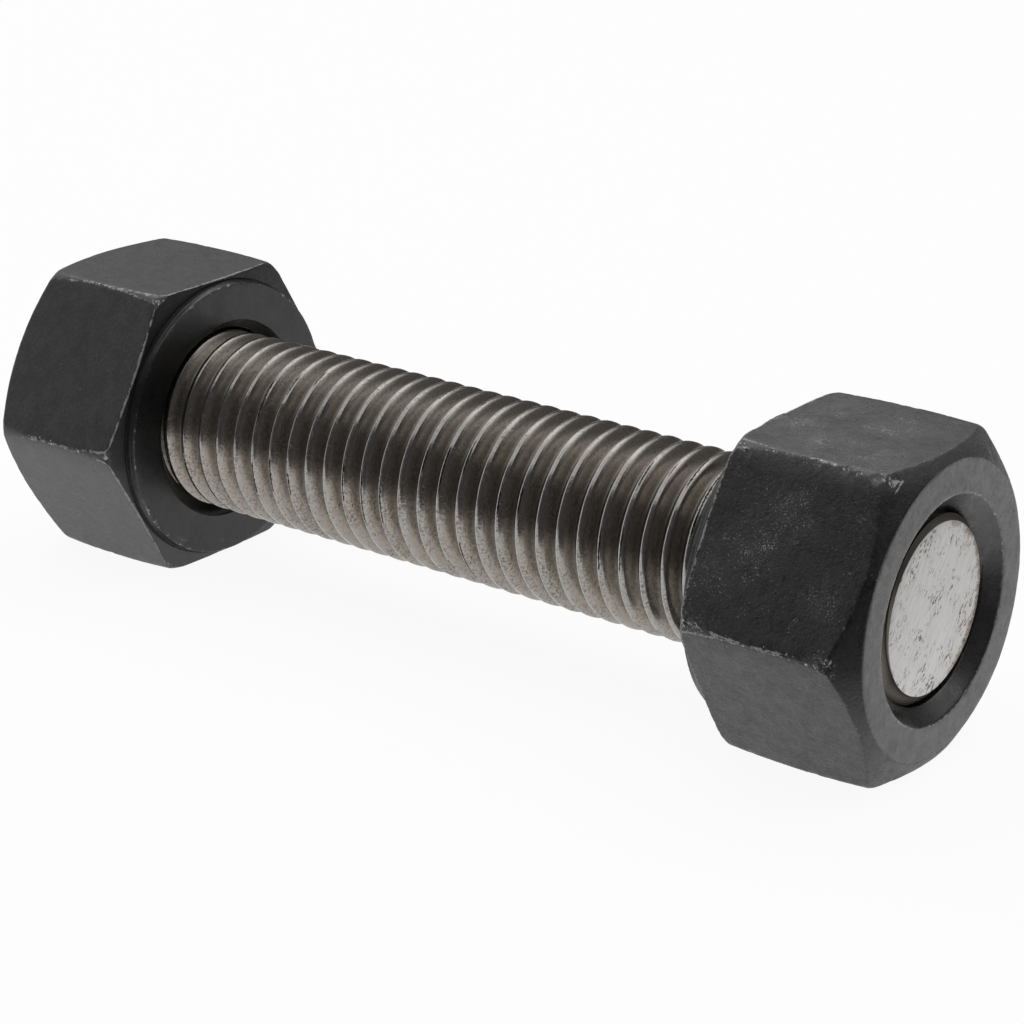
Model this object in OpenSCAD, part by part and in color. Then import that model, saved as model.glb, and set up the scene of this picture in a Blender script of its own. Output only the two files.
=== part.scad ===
// Fully threaded stud with a heavy hex nut on each end, lying on the flats of its nuts.
// X runs along the stud and Z is up. The origin is on the surface below the middle of the stud.
// Lengths are in millimetres and angles in degrees.

/* [Stud] */
// Length of the stud from end to end
stud_len = 120.65; // [90:0.05:200]
// Diameter over the thread crests
crest_d = 22; // [18:0.05:26]
// Distance from one thread crest to the next
pitch = 2.822; // [1.5:0.001:3.5]
// How far along the stud the thread crests are set from the middle
thread_shift = 0.6; // [0:0.05:3]
// Slope of each thread flank, measured from a plane square to the axis
flank_angle = 30; // [27.5:0.5:35]
// How far the flat end face lies inside the crests, on the radius
end_face_inset = 1.4; // [0.8:0.05:2.5]
// Slope of the chamfer at each end, measured from the axis
end_chamfer_angle = 45; // [30:1:60]

/* [Nuts] */
// Width across the flats of the hexagon
across_flats = 35.5; // [32:0.05:42]
// Height of a nut, from its washer face to its outer face
nut_height = 21.7; // [16:0.05:30]
// How far the outer face of a nut stands past the end of the stud
end_recess = 1.1; // [0:0.05:4]
// Radial gap between the thread crests and the bore of a nut
thread_clearance = 0.15; // [0.1:0.01:0.4]

/* [Nut faces] */
// How far the washer face lies inside the flats, on the radius
washer_face_inset = 0.6; // [0.1:0.05:1.5]
// Height of the washer face above the corners around it
washer_face_height = 1.1; // [0.2:0.05:2]
// Slope of the corners around the washer face, measured from the face
inner_chamfer_angle = 8; // [4:1:30]
// How far the flat ring on the outer face lies inside the flats, on the radius
outer_face_inset = 1.2; // [0.3:0.05:2.5]
// Slope of the corners around the outer face, measured from the face
outer_chamfer_angle = 32; // [20:1:40]
// Radius of the barrel that rounds the six corner edges along their length
barrel_radius = 120; // [60:5:300]
// How far the barrel cuts into a sharp corner at half height
corner_break = 0.05; // [0.02:0.01:0.5]
// How far the countersink in the washer face opens past the bore, on the radius
inner_countersink = 1.3; // [0.5:0.05:2.5]
// How far the countersink in the outer face opens past the bore, on the radius
outer_countersink = 1.65; // [0.5:0.05:2.5]
// Slope of both countersinks, measured from the axis
countersink_angle = 45; // [30:1:60]

/* [Hidden] */
stud_colour = "#7d766d";
nut_colour = "#343538";

// Fineness of round surfaces and of each turn of the thread
$fn = 96;
barrel_fn = 720;
turn_steps = 24;

// Thread form, with a flat crest and a wider flat root
crest_r = crest_d / 2;
crest_flat = pitch / 8;
root_flat = pitch / 4;
thread_depth = (pitch - crest_flat - root_flat) / 2 / tan(flank_angle);
root_r = crest_r - thread_depth;
thread_profile = [
    [-crest_flat / 2, crest_r],
    [crest_flat / 2, crest_r],
    [(pitch - root_flat) / 2, root_r],
    [(pitch + root_flat) / 2, root_r]
];
profile_points = len(thread_profile);

// The threaded rod is made longer than the stud, which is then cut from it
spare_turns = 3;
turns = 2 * (ceil(stud_len / pitch / 2) + spare_turns);
rows = turns * profile_points + 1;
rod_start = thread_shift - turns / 2 * pitch;

// Stud ends
end_face_r = crest_r - end_face_inset;
cut_margin = 1;
chamfer_out = end_face_inset + cut_margin;
chamfer_along = chamfer_out / tan(end_chamfer_angle);

// Nut hexagon, faces and bore
flat_r = across_flats / 2;
corner_r = flat_r / cos(30);
washer_r = flat_r - washer_face_inset;
outer_face_r = flat_r - outer_face_inset;
inner_drop = washer_face_height + (corner_r - washer_r) * tan(inner_chamfer_angle);
outer_drop = (corner_r - outer_face_r) * tan(outer_chamfer_angle);
bore_r = crest_r + thread_clearance;
inner_mouth = inner_countersink / tan(countersink_angle);
outer_mouth = outer_countersink / tan(countersink_angle);

// Places
axis_z = flat_r;
nut_x = stud_len / 2 + end_recess - nut_height;

// Point of the thread on one profile row and one step of the turn
function thread_point(row, step) =
    let (form = thread_profile[row % profile_points])
    let (turn = floor(row / profile_points) + step / turn_steps)
    let (angle = 360 * step / turn_steps)
    [rod_start + turn * pitch + form[0], form[1] * cos(angle), form[1] * sin(angle)];

// Place of that point in the list of points
function at(row, step) = step * rows + row;

// Two triangles between four points of the thread surface
function quad(a, b, c, d) = [[a, b, c], [a, c, d]];

// Triangles from one point on the axis to a loop of points
function fan(middle, loop) =
    [for (k = [0 : len(loop) - 1]) [middle, loop[k], loop[(k + 1) % len(loop)]]];

// Turns a shape made along Z so that it lies along X
module along_x() {
    rotate([0, 90, 0]) children();
}

// Right-hand threaded rod along X, closed at its ends by fans of triangles
module threaded_rod() {
    last = turn_steps - 1;
    points = [for (step = [0 : last]) for (row = [0 : rows - 1]) thread_point(row, step)];
    start_middle = len(points);
    end_middle = start_middle + 1;
    axis_points = [[rod_start, 0, 0], [rod_start + turns * pitch, 0, 0]];
    walls = [
        for (step = [0 : last - 1]) for (row = [0 : rows - 2])
            each quad(at(row, step), at(row, step + 1), at(row + 1, step + 1), at(row + 1, step))
    ];
    seam = [
        for (row = [0 : rows - 2 - profile_points])
            each quad(at(row, last), at(row + profile_points, 0), at(row + profile_points + 1, 0), at(row + 1, last))
    ];
    start_loop = concat(
        [for (step = [last : -1 : 0]) at(0, step)],
        [for (row = [1 : profile_points]) at(row, 0)]
    );
    end_loop = concat(
        [for (step = [0 : last]) at(rows - 1, step)],
        [for (row = [rows - 2 : -1 : rows - 1 - profile_points]) at(row, last)]
    );
    polyhedron(
        points = concat(points, axis_points),
        faces = concat(walls, seam, fan(start_middle, start_loop), fan(end_middle, end_loop))
    );
}

// Round bar with a chamfer at each end, wider than the thread between them
module stud_envelope() {
    half = stud_len / 2;
    rotate_extrude()
        polygon([
            [0, -half],
            [end_face_r, -half],
            [end_face_r + chamfer_out, -half + chamfer_along],
            [end_face_r + chamfer_out, half - chamfer_along],
            [end_face_r, half],
            [0, half]
        ]);
}

// Threaded bar, cut to length and chamfered at both ends
module stud() {
    color(stud_colour)
        translate([0, 0, axis_z])
            intersection() {
                threaded_rod();
                along_x() stud_envelope();
            }
}

// Turned outline of a nut: washer face below, chamfered face above, barrel round the corners
module nut_outline() {
    rotate_extrude()
        intersection() {
            polygon([
                [0, 0],
                [washer_r, 0],
                [washer_r, washer_face_height],
                [corner_r, inner_drop],
                [corner_r, nut_height - outer_drop],
                [outer_face_r, nut_height],
                [0, nut_height]
            ]);
            translate([corner_r - corner_break - barrel_radius, nut_height / 2])
                circle(r = barrel_radius, $fn = barrel_fn);
        }
}

// Bore with a countersink at each face, run a little past both faces
module nut_bore() {
    past = 0.5;
    flare = past * tan(countersink_angle);
    rotate_extrude()
        polygon([
            [0, -past],
            [bore_r + inner_countersink + flare, -past],
            [bore_r, inner_mouth],
            [bore_r, nut_height - outer_mouth],
            [bore_r + outer_countersink + flare, nut_height + past],
            [0, nut_height + past]
        ]);
}

// Heavy hex nut along Z with its washer face at zero and a flat towards X
module heavy_hex_nut() {
    difference() {
        intersection() {
            rotate([0, 0, 30]) cylinder(r = corner_r, h = nut_height, $fn = 6);
            nut_outline();
        }
        nut_bore();
    }
}

// Nut on the near end of the stud, washer face towards the middle
module nut_right() {
    color(nut_colour)
        translate([nut_x, 0, axis_z]) along_x() heavy_hex_nut();
}

// The same nut on the far end, turned end for end
module nut_left() {
    color(nut_colour)
        translate([-nut_x, 0, axis_z]) rotate([0, 0, 180]) along_x() heavy_hex_nut();
}

stud();
nut_left();
nut_right();
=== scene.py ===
"""Looks of a threaded steel stud that carries two black heavy hex nuts.

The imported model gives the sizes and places. The stud is remade with rounded, worn
threads, and each nut with barrelled corners, a tapped bore, chips, dents and scuffs.
Lengths inside the classes are millimetres, and meshes are written in metres.
"""

import logging
import math
from dataclasses import dataclass
from enum import Enum
from typing import Any, Sequence

import bpy
import numpy as np
from mathutils import Matrix, Vector, noise


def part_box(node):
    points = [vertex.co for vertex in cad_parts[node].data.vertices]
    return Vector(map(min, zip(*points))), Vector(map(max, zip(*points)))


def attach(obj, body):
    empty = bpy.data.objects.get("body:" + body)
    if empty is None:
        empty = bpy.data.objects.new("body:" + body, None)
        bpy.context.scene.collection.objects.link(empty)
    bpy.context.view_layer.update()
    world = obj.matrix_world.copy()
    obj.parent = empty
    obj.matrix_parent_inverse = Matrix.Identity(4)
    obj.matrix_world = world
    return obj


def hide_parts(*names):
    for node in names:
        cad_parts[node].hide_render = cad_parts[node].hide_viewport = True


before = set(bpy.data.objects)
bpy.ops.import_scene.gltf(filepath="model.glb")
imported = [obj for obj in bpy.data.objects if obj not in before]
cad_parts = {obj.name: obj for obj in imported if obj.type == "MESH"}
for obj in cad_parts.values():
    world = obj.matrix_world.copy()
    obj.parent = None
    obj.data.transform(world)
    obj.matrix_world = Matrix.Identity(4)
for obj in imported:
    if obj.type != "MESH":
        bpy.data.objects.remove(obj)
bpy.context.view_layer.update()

MM = 0.001
FLAKE_SIZES = (0.10, 0.26)
FLAKE_BAND = 0.35
FLAKE_DEPTH = 0.05
END_CHAMFER = 1.4
Colour = tuple[float, float, float, float]
log = logging.getLogger("threaded_stud")


def smooth_low(first: np.ndarray, second: np.ndarray, blend: float) -> np.ndarray:
    """The lower of two lengths, rounded off where they cross.

    Args:
        first: One length at each point.
        second: The other length at each point.
        blend: How far the rounding reaches, in millimetres.

    Returns:
        The rounded lower length at each point.
    """
    return (first + second - np.sqrt((first - second) ** 2 + blend**2)) / 2


def smooth_high(first: np.ndarray, second: np.ndarray, blend: float) -> np.ndarray:
    """The higher of two lengths, rounded off where they cross, as smooth_low does."""
    return -smooth_low(-first, -second, blend)


def smooth_step(value: np.ndarray, low: float, high: float) -> np.ndarray:
    """Nought below low, one above high, and an S curve between them."""
    share = np.clip((value - low) / (high - low), 0, 1)
    return share * share * (3 - 2 * share)


def noise_at(points: np.ndarray, wave: float, seed: int) -> np.ndarray:
    """Smooth noise from about -1 to 1 at points in space.

    Args:
        points: Points in millimetres, one row each.
        wave: Length of one wave of the noise, in millimetres.
        seed: Chooses the pattern.

    Returns:
        One value for each point.
    """
    shift = Vector((seed * 17.3, seed * 5.1, seed * 9.7))
    return np.array([noise.noise(Vector(point) / wave + shift) for point in points])


def make_piece(name: str, points: np.ndarray, faces: np.ndarray) -> bpy.types.Object:
    """Write a closed mesh as an object, with its faces turned outwards.

    Args:
        name: The piece's name.
        points: Vertices in millimetres, in the frame.
        faces: Vertex numbers, one row of three or four for each face.

    Returns:
        The new object, linked to the scene.
    """
    first, second, third = (points[faces[:, corner]] for corner in range(3))
    volume = np.einsum("ij,ij->i", first, np.cross(second, third)).sum()
    if faces.shape[1] == 4:
        fourth = points[faces[:, 3]]
        volume += np.einsum("ij,ij->i", first, np.cross(third, fourth)).sum()
    turned = faces if volume > 0 else faces[:, ::-1]
    mesh = bpy.data.meshes.new(name)
    mesh.from_pydata((points * MM).tolist(), [], turned.tolist())
    mesh.update()
    piece = bpy.data.objects.new(name, mesh)
    bpy.context.scene.collection.objects.link(piece)
    return piece


def tag_points(piece: bpy.types.Object, tags: dict[str, np.ndarray]) -> None:
    """Store named values on a piece's vertices, for its finish to read.

    Args:
        piece: The piece to tag.
        tags: One value for each vertex, under each name.
    """
    for name, values in tags.items():
        layer = piece.data.attributes.new(name, "FLOAT", "POINT")
        layer.data.foreach_set("value", np.asarray(values, np.float32).ravel())


class Wire:
    """A shader socket that takes part in Python arithmetic."""

    def __init__(self, graph: "Graph", socket: bpy.types.NodeSocket | None) -> None:
        """Keep the socket and the graph that it belongs to."""
        self.graph = graph
        self.socket = socket

    def _math(self, operation: str, first: Any, second: Any) -> "Wire":
        """One Math node on two values."""
        return self.graph.node("ShaderNodeMath", {"operation": operation}, {0: first, 1: second})

    def __add__(self, other: "Wire | float") -> "Wire":
        """Sum of two values."""
        return self._math("ADD", self, other)

    def __radd__(self, other: float) -> "Wire":
        """Sum with a number on the left."""
        return self._math("ADD", other, self)

    def __sub__(self, other: "Wire | float") -> "Wire":
        """Difference of two values."""
        return self._math("SUBTRACT", self, other)

    def __rsub__(self, other: float) -> "Wire":
        """Difference with a number on the left."""
        return self._math("SUBTRACT", other, self)

    def __mul__(self, other: "Wire | float") -> "Wire":
        """Product of two values."""
        return self._math("MULTIPLY", self, other)

    def __rmul__(self, other: float) -> "Wire":
        """Product with a number on the left."""
        return self._math("MULTIPLY", other, self)

    def higher(self, other: "Wire | float") -> "Wire":
        """The higher of two values."""
        return self._math("MAXIMUM", self, other)


class Graph:
    """Builds one node tree."""

    def __init__(self, tree: bpy.types.NodeTree) -> None:
        """Start from an empty tree."""
        tree.nodes.clear()
        self.tree = tree

    def node(
        self,
        kind: str,
        settings: dict[str, Any] | None = None,
        sockets: dict[str | int, Any] | None = None,
        out: str | int = 0,
    ) -> Wire:
        """Add any node.

        Args:
            kind: The node's type.
            settings: Its properties, set before its sockets.
            sockets: Values or wires for its inputs, by name or number.
            out: The output to hand back.

        Returns:
            The chosen output, or an empty wire from a node that has none.
        """
        made = self.tree.nodes.new(kind)
        for name, value in (settings or {}).items():
            setattr(made, name, value)
        for key, value in (sockets or {}).items():
            if isinstance(value, Wire):
                self.tree.links.new(value.socket, made.inputs[key])
            else:
                made.inputs[key].default_value = value
        return Wire(self, made.outputs[out] if made.outputs else None)

    def tag(self, name: str) -> Wire:
        """A value stored on the vertices."""
        return self.node("ShaderNodeAttribute", {"attribute_name": name}, out="Fac")

    def place(self) -> Wire:
        """The point on the piece, in millimetres, which moves with the piece."""
        spot = self.node("ShaderNodeTexCoord", out="Object")
        return self.stretch(spot, (1 / MM, 1 / MM, 1 / MM))

    def stretch(self, vector: Wire, factors: Sequence[float]) -> Wire:
        """A vector times a factor on each axis."""
        return self.node("ShaderNodeVectorMath", {"operation": "MULTIPLY"}, {0: vector, 1: factors})

    def turn(self, vector: Wire, degrees: float) -> Wire:
        """A vector turned about the stud's axis."""
        sockets = {"Vector": vector, "Rotation": (math.radians(degrees), 0.0, 0.0)}
        return self.node("ShaderNodeMapping", sockets=sockets)

    def axis(self, vector: Wire, name: str) -> Wire:
        """One coordinate of a vector: X, Y or Z."""
        return self.node("ShaderNodeSeparateXYZ", sockets={0: vector}, out=name)

    def cloud(self, vector: Wire, scale: float, detail: float = 3.0, rough: float = 0.55) -> Wire:
        """Soft noise from 0 to 1.

        Args:
            vector: Where the noise is read.
            scale: Waves in a millimetre.
            detail: Number of finer layers.
            rough: Strength of the finer layers.

        Returns:
            The noise value.
        """
        sockets = {"Vector": vector, "Scale": scale, "Detail": detail, "Roughness": rough}
        return self.node("ShaderNodeTexNoise", sockets=sockets)

    def step(self, value: Wire, low: float, high: float) -> Wire:
        """Nought below low, one above high, with an S curve between."""
        sockets = {"Value": value, "From Min": low, "From Max": high}
        return self.node("ShaderNodeMapRange", {"interpolation_type": "SMOOTHSTEP"}, sockets)

    def tint(self, share: Wire | float, first: Any, second: Any) -> Wire:
        """A blend of two colours.

        Args:
            share: How much of the second colour shows.
            first: A colour or a wire.
            second: A colour or a wire.

        Returns:
            The blended colour.
        """
        return self.node("ShaderNodeMix", {"data_type": "RGBA"}, {0: share, 6: first, 7: second}, out=2)

    def bump(self, height: Wire, distance: float) -> Wire:
        """A normal from a height, where distance is the depth in millimetres."""
        sockets = {"Height": height, "Distance": distance * MM, "Strength": 1.0}
        return self.node("ShaderNodeBump", sockets=sockets)

    def surface(self, sockets: dict[str, Any]) -> None:
        """End the tree in one principled surface."""
        shader = self.node("ShaderNodeBsdfPrincipled", sockets=sockets)
        self.node("ShaderNodeOutputMaterial", sockets={"Surface": shader})


def new_material(name: str) -> tuple[bpy.types.Material, Graph]:
    """A material with an empty node tree, and the graph that fills it."""
    material = bpy.data.materials.new(name)
    material.use_nodes = True
    return material, Graph(material.node_tree)


def grey(level: float, warmth: float = 0.0) -> Colour:
    """A colour near grey: warmth lifts red and drops blue by that share."""
    return (level * (1 + warmth), level, level * (1 - warmth), 1.0)


@dataclass(frozen=True)
class BlackOxide:
    """A thin black skin on forged steel, scuffed to grey at edges and in patches."""

    name: str
    dust: float
    mottling: float
    turned: Colour
    skin: Colour
    dull: Colour
    gloss_index: float
    top_dust_and_shade: float
    painted_bounce: float
    deep: Colour = grey(0.085)
    worn: Colour = grey(0.28)
    rub: Colour = grey(0.31)
    bare: Colour = grey(0.50, 0.02)
    rust: Colour = (0.085, 0.040, 0.020, 1.0)
    top_dust_and_shade_from: float = 33.0
    top_dust_and_shade_to: float = 35.3
    painted_bounce_from: float = 17.6
    painted_bounce_to: float = 14.0
    blotch_scale: float = 0.6
    grain_scale: float = 2.4
    fine_scale: float = 5.4
    roughness: float = 0.45
    bump_depth: float = 0.11
    turned_metal: float = 0.85
    flake_metal: float = 0.45

    def material(self) -> bpy.types.Material:
        """Build the material.

        Returns:
            A material that reads the tags edge, machined, smooth, bore, flake, scuff and rust.
        """
        material, graph = new_material(self.name)
        spot = graph.place()
        machined = graph.tag("machined")
        smooth = graph.tag("smooth")
        scuff = graph.tag("scuff")
        rough_cut = 1 - smooth
        blotch = graph.cloud(spot, self.blotch_scale, 4.0, 0.65)
        grain = graph.cloud(spot, self.grain_scale, 4.0, 0.7)
        fine = graph.cloud(spot, self.fine_scale, 2.0, 0.7)
        cluster = graph.step(graph.cloud(spot, 0.4, 3.0, 0.6), 0.45, 0.75)
        crowd = 0.105 * scuff + self.dust * cluster * (0.3 + 0.7 * rough_cut)
        specks = graph.step(fine + crowd, 0.69, 0.78)
        broken = graph.cloud(spot, 1.5, 5.0, 0.8) + 0.5 * (graph.cloud(spot, 0.3, 2.0) - 0.5)
        rubbed = graph.step(graph.tag("edge") + 3.0 * (broken - 0.5), 0.84, 1.10)
        ragged = graph.cloud(spot, 2.8, 4.0, 0.75) - 0.5
        flake = graph.step(graph.tag("flake") + 2.2 * ragged, 0.75, 0.92)
        stain = graph.step(graph.tag("rust") * (0.3 + graph.cloud(spot, 1.3, 3.0)), 0.3, 0.75)
        mottle = graph.step(0.6 * blotch + 0.4 * grain, 0.40, 0.62)
        colour = graph.tint(mottle, self.skin, self.dull)
        smear = graph.step(graph.cloud(spot, 0.22, 4.0, 0.6), 0.46, 0.70)
        colour = graph.tint(machined * (1.06 - 0.28 * smear), colour, self.turned)
        colour = graph.tint(graph.tag("bore"), colour, self.deep)
        top = graph.axis(spot, "Z")
        settled = self.top_dust_and_shade * graph.step(top, self.top_dust_and_shade_from, self.top_dust_and_shade_to) * (0.4 + 1.2 * blotch)
        # Painted light: the forged faces are tinted paler towards the bottom of the nut, standing in
        # for light thrown up from the table.
        low = 1 - graph.step(top, self.painted_bounce_to, self.painted_bounce_from)
        painted_bounce_tint = self.painted_bounce * low * (0.5 + blotch) * rough_cut
        colour = graph.tint(settled + painted_bounce_tint + 0.05 * scuff, colour, self.worn)
        colour = graph.tint(0.75 * specks, colour, self.worn)
        colour = graph.tint(0.9 * rubbed, colour, self.rub)
        colour = graph.tint(0.8 * stain, colour, self.rust)
        colour = graph.tint(flake, colour, self.bare)
        uneven = self.mottling * (0.5 * (blotch - 0.5) + 0.35 * (grain - 0.5))
        rough = self.roughness + uneven - 0.12 * smooth
        height = (0.3 * blotch + 0.7 * grain + 0.3 * fine) * (0.2 + 0.8 * rough_cut)
        graph.surface(
            {
                "Base Color": colour,
                "Roughness": rough,
                "Metallic": (self.turned_metal * machined).higher(self.flake_metal * flake),
                "IOR": self.gloss_index,
                "Normal": graph.bump(height, self.bump_depth * self.mottling),
            }
        )
        return material


@dataclass(frozen=True)
class PlainSteel:
    """Bare steel: bright worn crests and grey flanks, with oily dirt and painted shade in the roots."""

    name: str
    crest: Colour = (0.362, 0.342, 0.321, 1.0)
    flank: Colour = (0.335, 0.296, 0.258, 1.0)
    root_dirt_and_shade: Colour = (0.160, 0.142, 0.122, 1.0)
    polish: Colour = grey(0.56, 0.03)
    dirt_and_shade: Colour = (0.100, 0.088, 0.075, 1.0)
    face: Colour = grey(0.80, 0.015)
    dull_face: Colour = grey(0.68, 0.018)
    pit: Colour = (0.120, 0.090, 0.064, 1.0)
    seam: Colour = (0.032, 0.027, 0.022, 1.0)
    stain: Colour = (0.30, 0.22, 0.15, 1.0)
    chamfer_shade: Colour = (0.080, 0.066, 0.050, 1.0)
    tan: Colour = (0.44, 0.385, 0.31, 1.0)
    saw_deg: float = 40.0
    top_dust_and_shade_from: float = 20.5
    top_dust_and_shade_to: float = 27.0
    top_shade_wander: float = 6.0
    chamfer_light_from: float = 7.8
    chamfer_light_to: float = 10.2
    grain_scale: float = 2.6
    fleck_scale: float = 3.4
    drift_scale: float = 0.22
    roughness: float = 0.20
    bump_depth: float = 0.017

    def material(self) -> bpy.types.Material:
        """Build the material.

        Returns:
            A material that reads the tags rise, ridge, lap, face, rim and turned.
        """
        material, graph = new_material(self.name)
        spot = graph.place()
        rise = graph.tag("rise")
        face = graph.tag("face")
        turned = graph.tag("turned")
        grain = graph.cloud(spot, self.grain_scale, 2.0, 0.6)
        fleck = graph.cloud(spot, self.fleck_scale, 3.0, 0.65)
        drift = graph.cloud(spot, self.drift_scale, 3.0)
        lift = rise + 0.6 * (grain - 0.5) + 0.35 * (drift - 0.5)
        grime = graph.step(fleck + 0.4 * (drift - 0.5), 0.44, 0.72)
        seam = graph.step(graph.tag("lap") + 1.9 * (fleck - 0.5), 0.42, 0.66)
        # Painted shade: above a wavering height, the upper side of the stud is darkened towards the
        # same dark colour that the grime uses.
        level = graph.axis(spot, "Z") + self.top_shade_wander * (drift - 0.5)
        top_dust_and_shade = graph.step(level, self.top_dust_and_shade_from, self.top_dust_and_shade_to)
        specks = graph.step(graph.cloud(spot, 3.6, 2.0, 0.7) + 0.3 * (drift - 0.5), 0.63, 0.70)
        # Thread roots: a dark colour that is partly oily dirt and partly painted shade.
        colour = graph.tint(graph.step(lift, 0.0, 0.5), self.root_dirt_and_shade, self.flank)
        colour = graph.tint(graph.step(lift, 0.55, 0.95), colour, self.crest)
        colour = graph.tint((0.64 * grime).higher(0.36 * top_dust_and_shade), colour, self.dirt_and_shade)
        colour = graph.tint(0.6 * specks, colour, self.seam)
        # Polished patches on one shoulder of each crest: partly worn bright metal and partly a painted
        # highlight.
        polish_and_highlight = graph.tag("highlight_ridge") * graph.step(fleck + drift, 0.70, 1.05)
        colour = graph.tint(polish_and_highlight, colour, self.polish)
        colour = graph.tint(seam, colour, self.seam)
        # End chamfers and thread runout: painted shade in a dark colour, turning to painted light in
        # tan on their front side.
        front = graph.step(0 - graph.axis(spot, "Y"), self.chamfer_light_from, self.chamfer_light_to)
        colour = graph.tint(0.85 * turned, colour, graph.tint(front, self.chamfer_shade, self.tan))
        end, pits, lines = self._end_face(graph, spot)
        colour = graph.tint(face, colour, end)
        rough = self.roughness + 0.10 * (grain - 0.5) + 0.05 * grime + 0.20 * face + 0.20 * turned
        rough = rough + 0.15 * (1 - graph.step(lift, 0.10, 0.55))
        oily = (0.15 * grime).higher(0.13 * (1 - graph.step(lift, 0.70, 0.95)))
        height = (grain - 0.8 * specks) * (1 - 0.7 * face)
        height = height + face * (0.6 * lines - 2.7 * pits)
        graph.surface(
            {
                "Base Color": colour,
                "Roughness": rough,
                "Metallic": 1 - (oily * (1 - face)).higher(0.8 * turned),
                "Normal": graph.bump(height, self.bump_depth),
            }
        )
        return material

    def _end_face(self, graph: Graph, spot: Wire) -> tuple[Wire, Wire, Wire]:
        """The sawn end: fine lines across it, with pits in rows along them.

        Args:
            graph: The tree to build in.
            spot: The point on the piece, in millimetres.

        Returns:
            The colour, the pits and the lines.
        """
        sawn = graph.turn(spot, self.saw_deg)
        lines = graph.cloud(graph.stretch(sawn, (1.0, 4.0, 0.3)), 1.3, 3.0, 0.6)
        patch = graph.step(graph.cloud(spot, 0.34, 2.0), 0.42, 0.62)
        rows = graph.cloud(graph.stretch(sawn, (1.0, 1.6, 0.75)), 2.1, 3.0, 0.6)
        pits = graph.step(rows, 0.560, 0.615) * patch
        cloudy = graph.step(graph.cloud(spot, 0.7, 3.0, 0.6), 0.56, 0.74)
        colour = graph.tint(graph.step(lines, 0.35, 0.75), self.face, self.dull_face)
        colour = graph.tint(0.6 * cloudy * patch, colour, self.stain)
        rim = graph.step(graph.tag("rim") + 1.6 * (graph.cloud(spot, 0.9, 4.0, 0.7) - 0.5), 0.62, 1.05)
        colour = graph.tint(0.8 * rim, colour, self.stain)
        return graph.tint(0.85 * pits, colour, self.pit), pits, lines


@dataclass(frozen=True)
class ThreadForm:
    """The screw thread that the stud and both nuts share."""

    crest_radius: float
    pitch: float = 2.822
    flank_deg: float = 30.0
    crest_share: float = 0.21
    root_share: float = 0.20
    crest_flat: float = 0.06
    shift: float = 0.6
    play: float = 0.20
    tip_gap: float = 0.35
    root_round: float = 0.45
    root_drop: float = 0.08
    tap_round: float = 0.05

    @property
    def slope(self) -> float:
        """Run along the stud for each millimetre of thread depth."""
        return math.tan(math.radians(self.flank_deg))

    @property
    def crest_half(self) -> float:
        """Half the width of the crest flat."""
        return self.pitch * self.crest_share / 2

    @property
    def depth(self) -> float:
        """Height of the thread from root to crest."""
        return self.pitch * (1 - self.crest_share - self.root_share) / 2 / self.slope

    def from_crest(self, along: np.ndarray, angle: np.ndarray) -> np.ndarray:
        """Distance along the stud past the nearest crest line.

        Args:
            along: Place on the stud's axis.
            angle: Angle from the top towards the front, in radians.

        Returns:
            The distance at each point, up to half a pitch to either side.
        """
        quarter = math.pi / 2
        turns = (along - self.shift) / self.pitch - (angle + quarter) / math.tau
        return (turns - np.round(turns)) * self.pitch

    def stud_radius(self, off: np.ndarray) -> np.ndarray:
        """Radius of the stud at a distance from the crest line, with round crests and roots."""
        flank_angle = math.radians(self.flank_deg)
        bend = (self.crest_half - self.crest_flat) / (1 / math.cos(flank_angle) - self.slope)
        reach = bend * math.cos(flank_angle)
        past = np.clip(off - self.crest_flat, 0, None)
        crown = self.crest_radius - bend + np.sqrt(bend**2 - np.minimum(past, reach) ** 2)
        flank = crown - np.clip(past - reach, 0, None) / self.slope
        trough = np.full_like(off, self.crest_radius - self.depth - self.root_drop)
        return smooth_high(flank, trough, self.root_round)

    def nut_radius(self, off: np.ndarray) -> np.ndarray:
        """Radius of the tapped bore at a distance from the stud's crest line."""
        flank = self.crest_radius + self.play - (off - self.crest_half) / self.slope
        groove = smooth_low(flank, np.full_like(off, self.crest_radius + self.play), self.tap_round)
        tip = self.crest_radius - self.depth + self.tip_gap
        return smooth_high(groove, np.full_like(off, tip), self.tap_round)


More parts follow.
